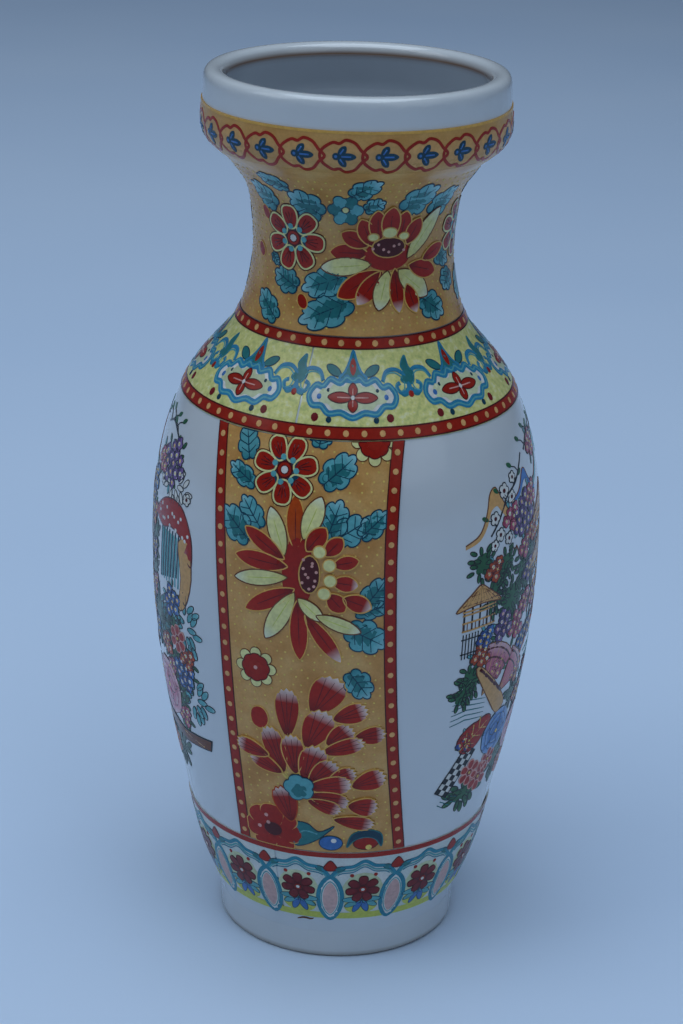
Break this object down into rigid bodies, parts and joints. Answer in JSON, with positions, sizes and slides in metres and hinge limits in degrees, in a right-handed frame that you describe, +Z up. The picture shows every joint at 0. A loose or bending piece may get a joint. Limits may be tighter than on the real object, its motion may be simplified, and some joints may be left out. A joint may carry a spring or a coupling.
{
  "type": "porcelain vase",
  "caption": "Baluster porcelain vase with a rolled collar mouth, narrow neck and short foot, decorated with fired flower strips, garden panels and patterned bands.",
  "frame": {"origin": "centre of the foot ring, on the surface the vase stands on", "axes": "+Z up along the vase's axis of revolution; the middle of the front flower strip faces -Y; +X to the right of someone facing the front"},
  "size_m": [0.1104, 0.1104, 0.2525],
  "materials": {
    "porcelain": "clear high-gloss glaze over white porcelain, faint blue tint and iron specks",
    "rim_enamel": "fired enamel print, orange gold ground, gloss",
    "neck_enamel": "fired enamel print, flowers on tan gold, gloss",
    "shoulder_enamel": "fired enamel print, yellow-green ground, gloss",
    "strip_enamel": "fired enamel print, flowers on tan gold, gloss",
    "scene_enamel": "fired enamel print in many colours over white glaze, gloss",
    "foot_enamel": "fired enamel print, blue arches and flowers on pale ground, gloss"
  },
  "bodies": {
    "root": {"porcelain_body": "porcelain", "rim_band_front": "rim_enamel", "rim_band_back": "rim_enamel", "neck_sheet_front": "neck_enamel", "neck_sheet_back": "neck_enamel", "shoulder_band_right": "shoulder_enamel", "shoulder_band_left": "shoulder_enamel", "flower_strip_front": "strip_enamel", "flower_strip_back": "strip_enamel", "garden_scene_right": "scene_enamel", "garden_scene_left": "scene_enamel", "foot_border_right": "foot_enamel", "foot_border_left": "foot_enamel"}
  },
  "joints": []
}
